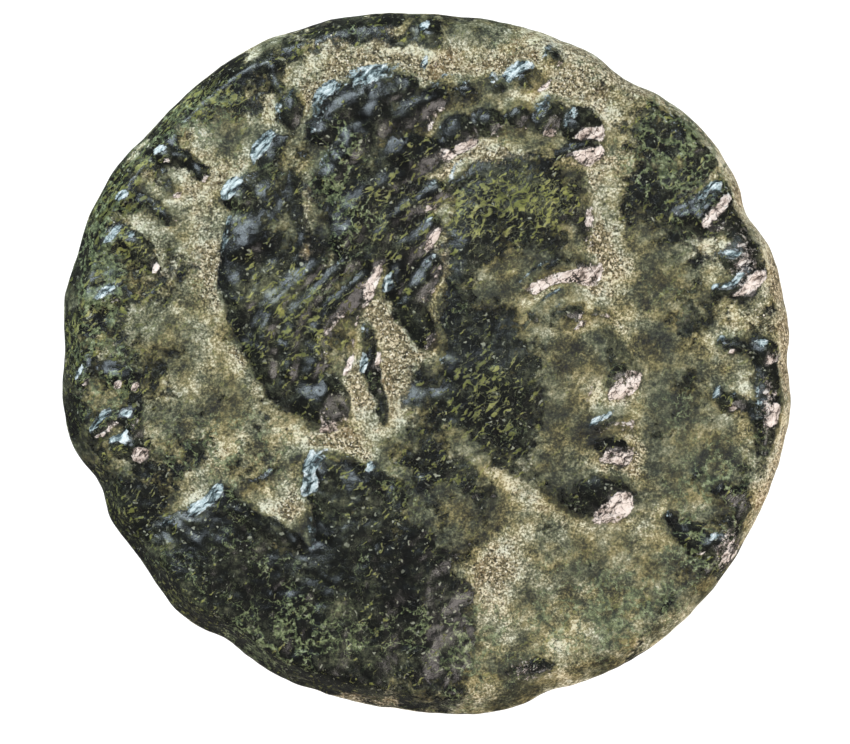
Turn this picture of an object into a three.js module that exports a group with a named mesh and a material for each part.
// A worn Roman provincial bronze coin, lying on its reverse.
// Millimetres, +Z up out of the portrait side, +Y towards the crown of the head.
import * as THREE from "three";

// Flan
const OVAL_WIDTH = 18.93;
const OVAL_HEIGHT = 18.15;
const FIELD_TOP = 2.15;
const FIELD_BOTTOM = 0.3;
const EDGE_ROUNDING = 0.35;
const TOP_DROP = 0.35;
const BOTTOM_LIFT = 0.4;
const EDGE_BULGE = 0.12;

// The rolled edge, where the face sags away: its middle, rounding, drop and sag
const ROLLED_AT = 215;
const ROLLED_ROUNDING = 1;
const ROLLED_DROP = 0.7;
const TOP_SAG = 0.3;

// Relief above the field
const FACE_RISE = 0.56;
const HAIR_RISE = 0.62;
const DRESS_RISE = 0.52;
const MARK_RISE = 0.24;
const MARK_CIRCLE = 8.25;

// Head: chin to crown, where the chin stands, and how far the head tips back
const HEAD_HEIGHT = 10.6;
const CHIN_X = 0.75;
const CHIN_Y = -4.3;
const HEAD_TILT = 6;

// Mesh
const CELLS = 128;
const COARSEST = 16;
const TOP_TRIANGLES = 5400;
const BOTTOM_TRIANGLES = 2900;
const EDGE_RINGS = [0.2, 0.75];
const WEAR_PASSES = 5;

// Where the hammered flan swells out or is nicked: angle, rise in mm, half span, degrees
const EDGE_SHAPE = [
  [153, 0.25, 14], [121, 0.27, 14], [101, 0.14, 9], [170, 0.11, 5], [188, 0.12, 7],
  [313, 0.22, 22], [280, 0.18, 9], [350, 0.08, 12], [40, 0.1, 10],
  [25, -0.22, 4], [55, -0.17, 5], [0, -0.12, 4], [200.5, -0.27, 4], [214, -0.25, 9],
  [235, -0.26, 6], [250, -0.07, 12], [290.5, -0.12, 4],
];

// Legend marks: angle round the coin and kind of mark
const MARKS = [
  [118, "hook"], [89, "bar"], [68, "hook"], [30, "bar"], [17, "pair"], [3, "hook"],
  [-8, "hook"], [-24, "bar"], [-34, "bar"], [142, "pair"], [150, "bar"], [158, "hook"],
  [168, "bar"], [182, "hook"], [193, "pair"],
];

// Strokes of each kind of mark, outwards and across, with half widths at both ends
const MARK_STROKES = {
  bar: [[[[-0.62, 0.05], [0, -0.05], [0.62, 0.1]], 0.3, 0.24]],
  hook: [
    [[[-0.6, 0.22], [-0.1, 0], [0.55, -0.12]], 0.26, 0.3],
    [[[0.45, -0.3], [0.62, 0.1]], 0.18, 0.18],
  ],
  pair: [
    [[[-0.5, -0.35], [0.1, -0.42], [0.6, -0.1]], 0.3, 0.26],
    [[[-0.35, 0.42], [0.25, 0.35]], 0.24, 0.3],
  ],
};

const clamp = (value, low, high) => Math.min(Math.max(value, low), high);
const mix = (a, b, t) => a + (b - a) * t;
const turn = (degrees) => (degrees * Math.PI) / 180;
const ease = (value) => {
  const t = clamp(value, 0, 1);
  return t * t * (3 - 2 * t);
};
const roundUp = (depth, reach) => Math.sqrt(1 - (1 - clamp(depth / reach, 0, 1)) ** 2);
const rollOff = (depth, reach) => (1 - clamp(depth / reach, 0, 1)) ** 2;
const blend = (a, b, width) => {
  const near = clamp(1 - Math.abs(a - b) / width, 0, 1);
  return Math.max(a, b) + (near * near * width) / 4;
};
const bell = (x, y, cx, cy, rx, ry) => Math.exp(-(((x - cx) / rx) ** 2) - ((y - cy) / ry) ** 2);
const knob = (x, y, cx, cy, rx, ry, power) =>
  clamp(1 - ((x - cx) / rx) ** 2 - ((y - cy) / ry) ** 2, 0, 1) ** power;

// Smooth run of points through a few named ones.
function curve(points, steps = 5, closed = false) {
  const spline = new THREE.CatmullRomCurve3(
    points.map(([x, y]) => new THREE.Vector3(x, y, 0)), closed, "catmullrom", 0.5,
  );
  const count = (closed ? points.length : points.length - 1) * steps;
  const run = [];
  for (let i = 0; i < (closed ? count : count + 1); i++) {
    const at = spline.getPoint(i / count);
    run.push([at.x, at.y]);
  }
  return { run, closed };
}

// Distance from a point to a curve, and how far along the curve the nearest place is.
function nearest(x, y, { run, closed }) {
  let best = Infinity;
  let along = 0;
  const last = closed ? run.length : run.length - 1;
  for (let i = 0; i < last; i++) {
    const [ax, ay] = run[i];
    const [bx, by] = run[(i + 1) % run.length];
    const dx = bx - ax;
    const dy = by - ay;
    const t = clamp(((x - ax) * dx + (y - ay) * dy) / (dx * dx + dy * dy + 1e-12), 0, 1);
    const away = Math.hypot(x - ax - t * dx, y - ay - t * dy);
    if (away < best) {
      best = away;
      along = (i + t) / last;
    }
  }
  return [best, along];
}

// Distance inside a closed curve; negative outside it.
function depthInside(x, y, shape) {
  const { run } = shape;
  let within = false;
  for (let i = 0; i < run.length; i++) {
    const [ax, ay] = run[i];
    const [bx, by] = run[(i + 1) % run.length];
    if (ay > y !== by > y && x < ((bx - ax) * (y - ay)) / (by - ay) + ax) within = !within;
  }
  const [away] = nearest(x, y, shape);
  return within ? away : -away;
}

// Height of a rounded ridge that follows a curve and narrows a little at both ends.
function ridge(x, y, path, startWidth, endWidth, rise, power = 0.75) {
  const [away, along] = nearest(x, y, path);
  const reach = mix(startWidth, endWidth, along) * (0.7 + 0.3 * Math.sin(Math.PI * along));
  return rise * clamp(1 - (away / reach) ** 2, 0, 1) ** power;
}

// Point part way along a curve.
function pointOn({ run }, t) {
  const place = clamp(t * (run.length - 1), 0, run.length - 1.0001);
  const i = Math.floor(place);
  return [mix(run[i][0], run[i + 1][0], place - i), mix(run[i][1], run[i + 1][1], place - i)];
}

// Radius of the flan in a direction.
function flanRadius(angle) {
  const rx = OVAL_WIDTH / 2;
  const ry = OVAL_HEIGHT / 2;
  let radius = 1 / Math.hypot(Math.cos(angle) / rx, Math.sin(angle) / ry);
  for (const [at, rise, span] of EDGE_SHAPE) {
    const gap = ((((angle * 180) / Math.PI - at + 180) % 360) + 360) % 360 - 180;
    radius += rise * Math.exp(-((gap / span) ** 2));
  }
  return radius;
}

// Share of the thick rolled edge in a direction, 0 to 1.
function thickEdge(angle) {
  return ease(0.5 + 0.75 * Math.cos(angle - turn(ROLLED_AT)));
}

// Face and its features. Places are in parts of the head height, forward and up from the chin.
const PROFILE = curve([
  [0.385, 0.93], [0.4, 0.86], [0.412, 0.68], [0.405, 0.6], [0.392, 0.545], [0.404, 0.49],
  [0.442, 0.41], [0.482, 0.345], [0.484, 0.315], [0.46, 0.297], [0.424, 0.287], [0.421, 0.262],
  [0.436, 0.232], [0.432, 0.212], [0.412, 0.193], [0.426, 0.172], [0.422, 0.145],
  [0.396, 0.118], [0.408, 0.05], [0.384, 0.012], [0.337, -0.008], [0.27, 0.012],
  [0.16, 0.09], [0.07, 0.17], [0.02, 0.27], [-0.02, 0.55], [0.02, 0.8], [0.15, 0.95],
], 4, true);
const BROW = curve([[0.4, 0.585], [0.355, 0.606], [0.285, 0.604], [0.215, 0.575]]);
const UPPER_LID = curve([[0.372, 0.498], [0.342, 0.532], [0.305, 0.534], [0.262, 0.506]]);
const NOSE = curve([[0.39, 0.53], [0.418, 0.43], [0.452, 0.35]]);
const NOSE_CREASE = curve([[0.402, 0.325], [0.38, 0.28], [0.36, 0.235]]);
const UPPER_LIP = curve([[0.432, 0.222], [0.398, 0.217], [0.355, 0.202]]);
const LOWER_LIP = curve([[0.424, 0.158], [0.395, 0.166], [0.358, 0.184]]);
const LIP_LINE = curve([[0.43, 0.193], [0.39, 0.192], [0.34, 0.19]]);
const JAW = curve([[0.02, 0.4], [0.06, 0.19], [0.2, 0.05], [0.34, 0]]);

function faceHeight(x, y) {
  const dx = (x - CHIN_X) / HEAD_HEIGHT;
  const dy = (y - CHIN_Y) / HEAD_HEIGHT;
  const c = Math.cos(turn(HEAD_TILT));
  const s = Math.sin(turn(HEAD_TILT));
  const u = c * dx + s * dy;
  const v = c * dy - s * dx;
  const depth = depthInside(u, v, PROFILE) * HEAD_HEIGHT;
  if (depth < -0.3) return 0;
  let shape = FACE_RISE * (0.29 * ease(depth / 0.3 + 0.2) + 0.71 * roundUp(depth, 2.3));
  let detail = -0.17 * bell(u, v, 0.328, 0.515, 0.06, 0.04);
  detail -= 0.08 * bell(u, v, 0.372, 0.525, 0.03, 0.045);
  detail += ridge(u, v, BROW, 0.03, 0.016, 0.11);
  detail += 0.13 * knob(u, v, 0.328, 0.505, 0.044, 0.026, 0.5);
  detail += ridge(u, v, UPPER_LID, 0.014, 0.01, 0.05);
  detail += 0.12 * bell(u, v, 0.22, 0.36, 0.14, 0.11);
  detail += 0.12 * bell(u, v, 0.424, 0.318, 0.03, 0.028);
  detail += ridge(u, v, NOSE, 0.024, 0.034, 0.09);
  detail -= ridge(u, v, NOSE_CREASE, 0.016, 0.02, 0.06);
  detail += ridge(u, v, UPPER_LIP, 0.026, 0.015, 0.1);
  detail += ridge(u, v, LOWER_LIP, 0.026, 0.014, 0.1);
  detail -= ridge(u, v, LIP_LINE, 0.016, 0.014, 0.11);
  detail -= 0.06 * bell(u, v, 0.388, 0.118, 0.03, 0.018);
  detail += 0.1 * bell(u, v, 0.37, 0.055, 0.048, 0.048);
  detail += ridge(u, v, JAW, 0.04, 0.028, 0.05);
  shape += detail * ease(depth / 0.15);
  return Math.max(shape, 0);
}

// Hair: a low mass, locks fanned back from the brow, locks swept down to a bun,
// loose curls down the back of the head and two rows of small curls over the forehead.
const HAIR = curve([
  [4.3, 6.6], [3.5, 7.1], [1.9, 7.5], [-0.7, 7.6], [-2.8, 7], [-4.3, 5.6], [-5.2, 3.9],
  [-5.5, 1.9], [-4.9, 0.2], [-3.9, -1.3], [-2.8, -1.7], [-2, -1.3], [-1.9, -0.2], [-1.3, 2.3],
  [-0.5, 0.9], [0.1, 0.4], [0.3, 1.7], [0.2, 5], [2.2, 5.6], [4.3, 6.1],
], 4, true);
const HAIR_FRONT = curve([
  [-2.8, 6.6], [-2.1, 7.3], [-0.7, 7.6], [0.4, 6.9], [0.3, 5.3], [0.2, 0.9], [-0.3, 0.8],
  [-0.8, 1.8], [-1.3, 2.3], [-2.2, 1.9], [-2.7, 3.2], [-2.9, 5.1],
], 4, true);
const FAN_BACK = curve([[-2.7, 6], [-2.5, 4.8], [-2.1, 3.2], [-1.4, 2.7], [-0.7, 1.9], [-0.2, 1]]);
const FAN_FRONT = curve([[-0.5, 7.1], [0.2, 6.8], [0.3, 5.6], [0.3, 4.5], [0.2, 3.6], [0.2, 2.6]]);
const FAN_LOCKS = 6;
const SWEEP_LOCKS = 3;
const BACK_CURLS = 5;
const BROW_CURLS = 8;
const CROWN_CURLS = 5;

const fan = Array.from({ length: FAN_LOCKS }, (_, i) => {
  const t = i / (FAN_LOCKS - 1);
  const from = pointOn(FAN_BACK, t);
  const to = pointOn(FAN_FRONT, t);
  const long = Math.hypot(to[0] - from[0], to[1] - from[1]);
  const side = [(from[1] - to[1]) / long, (to[0] - from[0]) / long];
  const bowed = (share, bow) => [
    mix(from[0], to[0], share) + side[0] * bow,
    mix(from[1], to[1], share) + side[1] * bow,
  ];
  const path = curve([from, bowed(0.33, 0.34), bowed(0.66, 0.22), to]);
  return { path, start: mix(0.64, 0.44, t), end: mix(0.52, 0.38, t) };
});
const sweep = Array.from({ length: SWEEP_LOCKS }, (_, i) => {
  const dx = -0.68 + 0.63 * i;
  const dy = 0.16 - 0.1 * i;
  return curve([[-2 + dx, 2.4 + dy], [-3.3 + dx, 1.2 + dy], [-3.5 + dx, -0.3 + dy]]);
});
const TEMPLE_LOCK = curve([[-3.5, 4.8], [-3.3, 3.5], [-2.9, 2.5]]);
const NECK_CURL = curve([[-1.5, 0.8], [-1.4, -0.4], [-1.1, -1.5]]);

function hairHeight(x, y) {
  const inside = depthInside(x, y, HAIR);
  if (inside < -0.7) return 0;
  let height = (0.16 * ease(inside / 0.25 + 0.2) + 0.12 * roundUp(inside, 1.6));
  height *= ease(inside / 0.15 + 0.5);
  const front = depthInside(x, y, HAIR_FRONT);
  height = blend(height, 0.28 * ease(front / 0.3) + 0.16 * roundUp(front, 1.2), 0.1);
  for (const { path, start, end } of fan) {
    height = blend(height, ridge(x, y, path, start, end, HAIR_RISE - 0.05), 0.1);
  }
  for (const path of sweep) height = blend(height, ridge(x, y, path, 0.4, 0.5, 0.46), 0.1);
  const fromBun = Math.hypot(x + 2.7, (y + 0.9) / 1.15);
  if (fromBun < 0.85) {
    const spiral = 0.5 + 0.5 * Math.cos(2 * Math.atan2(y + 0.9, x + 2.7) + 7 * fromBun);
    const bun = 0.55 * (1 - (fromBun / 0.85) ** 2) ** 0.6;
    height = blend(height, bun - 0.07 * spiral * ease(fromBun / 0.3), 0.05);
  }
  for (let i = 0; i < BACK_CURLS; i++) {
    const at = turn(135 + 15 * i);
    const out = 4.95 - 0.35 * (i % 2);
    const curl = knob(x, y, out * Math.cos(at), 3 + out * Math.sin(at), 0.42, 0.5, 0.6);
    height = blend(height, 0.45 * curl, 0.05);
  }
  height = blend(height, ridge(x, y, TEMPLE_LOCK, 0.38, 0.28, 0.42), 0.05);
  height = blend(height, ridge(x, y, NECK_CURL, 0.28, 0.16, 0.34), 0.05);
  height = blend(height, 0.55 * knob(x, y, -0.1, 0.8, 0.45, 0.5, 0.5), 0.05);
  for (let i = 0; i < BROW_CURLS; i++) {
    const t = i / (BROW_CURLS - 1);
    const cy = mix(5.8, 6.4, t) + 0.18 * Math.sin(Math.PI * t);
    height = blend(height, 0.6 * knob(x, y, mix(0.5, 4, t), cy, 0.4, 0.48, 0.55), 0.04);
  }
  for (let i = 0; i < CROWN_CURLS; i++) {
    const t = i / (CROWN_CURLS - 1);
    const cy = mix(6.8, 7.2, t) + 0.1 * Math.sin(Math.PI * t);
    height = blend(height, 0.5 * knob(x, y, mix(0.5, 2.9, t), cy, 0.44, 0.42, 0.55), 0.04);
  }
  return height;
}

// Neck, hair band, and the dress over the shoulders with its folds.
const NECK = curve([[1.1, -0.9], [0.4, -2.8], [-0.2, -4.6]]);
const BAND = curve([[0.4, 4.6], [2.3, 5.1], [4.2, 5.6]]);
const DRESS = curve([
  [-2.3, -2.2], [-3.3, -2.4], [-3.2, -4.6], [-4.3, -4.1], [-5.3, -3.4], [-7.2, -3.9],
  [-8.4, -4.3], [-8, -6.2], [-5.4, -8.5], [-0.2, -9.8], [3, -8.8], [2.5, -7.2], [1.7, -5.9],
  [0.8, -4.6], [0, -3.5], [-0.8, -2.7],
], 4, true);
const HEM = curve([[-5.3, -3.5], [-4.3, -4.2], [-3.2, -4.8]]);
const COLLAR = curve([[-5.3, -3.5], [-4.3, -3], [-3.3, -2.4]]);
const FOLDS = 5;
const folds = Array.from({ length: FOLDS }, (_, i) => curve([
  [-2.7 + 1 * i, -2.8 - 0.26 * i],
  [-2 + 1.04 * i, -5.1 - 0.16 * i],
  [-2.5 + 1.15 * i, -7.5 - 0.05 * i],
]));

function dressHeight(x, y) {
  const inside = depthInside(x, y, DRESS);
  if (inside < -0.6) return 0;
  let height = DRESS_RISE * (0.3 * ease(inside / 0.5 + 0.2) + 0.7 * roundUp(inside, 2.2));
  height *= ease(inside / 0.3 + 0.3);
  for (const path of folds) height += ridge(x, y, path, 0.4, 0.6, 0.14) * ease(inside / 0.6);
  height = blend(height, ridge(x, y, HEM, 0.45, 0.4, 0.4), 0.1);
  return blend(height, ridge(x, y, COLLAR, 0.2, 0.26, 0.22), 0.05);
}

const strokes = Object.fromEntries(Object.entries(MARK_STROKES).map(([kind, list]) => [
  kind, list.map(([points, start, end]) => ({ path: curve(points), start, end })),
]));

// Worn marks round the rim, standing in for the legend.
function markHeight(x, y, circle, marks) {
  let height = 0;
  for (const [at, kind] of marks) {
    const c = Math.cos(turn(at));
    const s = Math.sin(turn(at));
    const out = (x - circle * c) * c + (y - circle * s * 0.97) * s;
    const across = (y - circle * s * 0.97) * c - (x - circle * c) * s;
    if (Math.hypot(out, across) > 1.4) continue;
    for (const { path, start, end } of strokes[kind]) {
      height = blend(height, ridge(out, across, path, start, end, MARK_RISE), 0.03);
    }
  }
  return height;
}

// Rise of the portrait side above its field.
function portrait(x, y) {
  const neck = 0.3 * clamp(1 - (nearest(x, y, NECK)[0] / 2.1) ** 2, 0, 1) ** 0.6;
  let height = blend(faceHeight(x, y), neck, 0.06);
  height = blend(height, hairHeight(x, y), 0.05);
  height = blend(height, ridge(x, y, BAND, 0.2, 0.2, 0.5), 0.05);
  height = blend(height, dressHeight(x, y), 0.08);
  return blend(height, markHeight(x, y, MARK_CIRCLE, MARKS), 0.03);
}

// Reverse: a garlanded altar in a worn border, seen from below with +Y up.
const ALTAR_WIDTH = 3.6;
const ALTAR_LOW = -3.4;
const ALTAR_HIGH = 2.6;
const ALTAR_RISE = 0.36;
const BORDER_CIRCLE = 8.35;
const REVERSE_MARK_CIRCLE = 6.6;
const GROUND_LINE = curve([[-4.6, -4.7], [0, -4.75], [4.6, -4.7]]);
const GARLAND = curve([[-1.7, 1.4], [-0.9, 0.3], [0, -0.1], [0.9, 0.3], [1.7, 1.4]]);
const FLAMES = [-0.9, 0, 0.9].map((x, i) =>
  curve([[x * 0.9, 3.2], [x - 0.12, 4.1], [x * 1.3, 4.7 + 0.5 * (i % 2)]]));
const REVERSE_MARKS = [28, 46, 64, 82, 100, 118, 136, 154, 206, 224, 316, 334]
  .map((at, i) => [at, ["bar", "hook", "pair"][i % 3]]);

function block(x, y, halfWidth, low, high, softness) {
  const within = Math.min(halfWidth - Math.abs(x), y - low, high - y);
  return ease(within / softness + 0.5);
}

function altarSide(x, y) {
  const body = block(x, y, ALTAR_WIDTH / 2, ALTAR_LOW, ALTAR_HIGH, 0.35);
  const base = block(x, y, ALTAR_WIDTH / 2 + 0.6, ALTAR_LOW - 0.7, ALTAR_LOW, 0.3);
  const top = block(x, y, ALTAR_WIDTH / 2 + 0.45, ALTAR_HIGH, ALTAR_HIGH + 0.6, 0.3);
  let height = ALTAR_RISE * Math.max(body, base, top);
  height -= ridge(x, y, GARLAND, 0.3, 0.3, 0.24);
  for (const path of FLAMES) height = Math.max(height, ridge(x, y, path, 0.34, 0.16, 0.22));
  height = Math.max(height, ridge(x, y, GROUND_LINE, 0.2, 0.2, 0.18));
  const fromBorder = Math.abs(Math.hypot(x, y / 0.96) - BORDER_CIRCLE);
  height = Math.max(height, 0.4 * ease(1.25 - fromBorder / 0.4));
  return Math.max(height, 0.8 * markHeight(x, y, REVERSE_MARK_CIRCLE, REVERSE_MARKS));
}

// Height of each side of the coin, its edges rounded down to the outline.
function topHeight(relief, { x, y, angle, radius }) {
  const thick = thickEdge(angle);
  const inwards = radius - Math.hypot(x, y);
  const sag = TOP_SAG * thick * ease(1 - inwards / (0.45 * radius));
  const drop = mix(TOP_DROP, ROLLED_DROP, thick);
  const rounding = mix(EDGE_ROUNDING, ROLLED_ROUNDING, thick);
  return FIELD_TOP - sag + relief * ease(inwards / 0.5) - drop * rollOff(inwards, rounding);
}

function bottomHeight(relief, { x, y, radius }) {
  const inwards = radius - Math.hypot(x, y);
  const lift = BOTTOM_LIFT * rollOff(inwards, EDGE_ROUNDING);
  return Math.max(FIELD_BOTTOM - relief * ease(inwards / 0.4), 0) + lift;
}

// Even grid over a square laid onto the disc, so cells stay close to square.
function gridPoint(i, j) {
  const s = (2 * i) / CELLS - 1;
  const t = (2 * j) / CELLS - 1;
  const a = s * Math.sqrt(1 - (t * t) / 2);
  const b = t * Math.sqrt(1 - (s * s) / 2);
  const angle = Math.atan2(b, a);
  const radius = flanRadius(angle) - EDGE_BULGE;
  return { x: a * radius, y: b * radius, angle, radius };
}

// Relief softened by wear: each pass averages every place with its neighbours.
function worn(relief, size) {
  let heights = relief;
  for (let pass = 0; pass < WEAR_PASSES; pass++) {
    for (const step of [1, size]) {
      heights = heights.map((height, n) => {
        const before = heights[n - step] ?? height;
        const after = heights[n + step] ?? height;
        return (before + 2 * height + after) / 4;
      });
    }
  }
  return heights;
}

// Halves right-angled triangles over the grid, smaller only where the relief needs it.
// The outline is always cut into the same steps of two cells, so that both faces meet the edge.
function surface(reliefAt, heightAt, budget) {
  const size = CELLS + 1;
  const places = Array.from({ length: size * size }, (_, n) =>
    gridPoint(n % size, Math.floor(n / size)));
  const relief = worn(places.map(({ x, y }) => reliefAt(x, y)), size);
  const points = places.map((at, n) => [at.x, at.y, heightAt(relief[n], at)]);
  const halves = ([a, b, c]) => {
    const middle = [(a[0] + b[0]) / 2, (a[1] + b[1]) / 2];
    return [[c, a, middle], [b, c, middle]];
  };
  const index = ([i, j]) => j * size + i;
  const levels = [[
    [[0, 0], [CELLS, CELLS], [CELLS, 0]],
    [[CELLS, CELLS], [0, 0], [0, CELLS]],
  ]];
  for (let k = 1; k < 2 * Math.log2(CELLS); k++) levels.push(levels[k - 1].flatMap(halves));

  const errors = new Float64Array(size * size);
  const onRim = ([i, j]) => i === 0 || j === 0 || i === CELLS || j === CELLS;
  for (const [k, level] of [...levels.entries()].reverse()) {
    for (const triangle of level) {
      const [a, b] = triangle;
      const [first, second] = halves(triangle);
      const middle = first[2];
      const long = Math.hypot(a[0] - b[0], a[1] - b[1]);
      const flat = (points[index(a)][2] + points[index(b)][2]) / 2;
      let error = Math.abs(flat - points[index(middle)][2]);
      if (onRim(middle)) error = long > 2 ? Infinity : 0;
      if (long > COARSEST) error = Infinity;
      if (k < levels.length - 1) {
        error = Math.max(error, errors[index(halves(first)[0][2])]);
        error = Math.max(error, errors[index(halves(second)[0][2])]);
      }
      errors[index(middle)] = Math.max(errors[index(middle)], error);
    }
  }

  const pick = (triangle, depth, tolerance) => {
    const [first, second] = halves(triangle);
    if (depth === levels.length || errors[index(first[2])] <= tolerance) {
      return [triangle.map(index)];
    }
    return [...pick(first, depth + 1, tolerance), ...pick(second, depth + 1, tolerance)];
  };
  let fine = 0;
  let coarse = 1;
  let picked = [];
  for (let round = 0; round < 12; round++) {
    const tolerance = (fine + coarse) / 2;
    const found = levels[0].flatMap((triangle) => pick(triangle, 0, tolerance));
    if (found.length > budget) {
      fine = tolerance;
    } else {
      coarse = tolerance;
      picked = found;
    }
  }
  return { points, picked };
}

// Grid numbers round the outline, counter-clockwise from above.
function rimIndices() {
  const size = CELLS + 1;
  const rim = [];
  for (let n = 0; n < CELLS; n += 2) rim.push(n);
  for (let n = 0; n < CELLS; n += 2) rim.push(n * size + CELLS);
  for (let n = 0; n < CELLS; n += 2) rim.push(CELLS * size + CELLS - n);
  for (let n = 0; n < CELLS; n += 2) rim.push((CELLS - n) * size);
  return rim;
}

function coinGeometry() {
  const top = surface(portrait, topHeight, TOP_TRIANGLES);
  const bottom = surface((x, y) => altarSide(-x, y), bottomHeight, BOTTOM_TRIANGLES);
  const positions = [];
  const faces = [];
  const add = ([x, y, z]) => positions.push([x, y, z]) - 1;
  const place = ({ points }) => {
    const seen = new Map();
    return (at) => {
      if (!seen.has(at)) seen.set(at, add(points[at]));
      return seen.get(at);
    };
  };
  const topAt = place(top);
  const bottomAt = place(bottom);
  for (const [a, b, c] of top.picked) faces.push([topAt(a), topAt(c), topAt(b)]);
  for (const [a, b, c] of bottom.picked) faces.push([bottomAt(a), bottomAt(b), bottomAt(c)]);

  const rim = rimIndices();
  const rings = [rim.map(bottomAt)];
  for (const share of EDGE_RINGS) {
    rings.push(rim.map((at) => {
      const [x, y, low] = bottom.points[at];
      const out = 1 + EDGE_BULGE / Math.hypot(x, y);
      return add([x * out, y * out, mix(low, top.points[at][2], share)]);
    }));
  }
  rings.push(rim.map(topAt));
  for (let r = 1; r < rings.length; r++) {
    const low = rings[r - 1];
    const high = rings[r];
    for (let n = 0; n < rim.length; n++) {
      const next = (n + 1) % rim.length;
      faces.push([low[n], low[next], high[next]]);
      faces.push([low[n], high[next], high[n]]);
    }
  }

  const geometry = new THREE.BufferGeometry();
  geometry.setAttribute("position", new THREE.Float32BufferAttribute(positions.flat(), 3));
  geometry.setIndex(faces.flat());
  geometry.computeBoundingBox();
  const { min, max } = geometry.boundingBox;
  geometry.translate(-(min.x + max.x) / 2, -(min.y + max.y) / 2, -min.z);
  geometry.computeVertexNormals();
  return geometry;
}

const bronze = new THREE.MeshStandardMaterial({ color: 0x4f4f3c, metalness: 0.3, roughness: 0.6 });
bronze.name = "patinated_bronze";

const coin = new THREE.Mesh(coinGeometry(), bronze);
coin.name = "coin";

const part = new THREE.Group();
part.name = "roman_bronze_coin";
part.add(coin);
export default part;
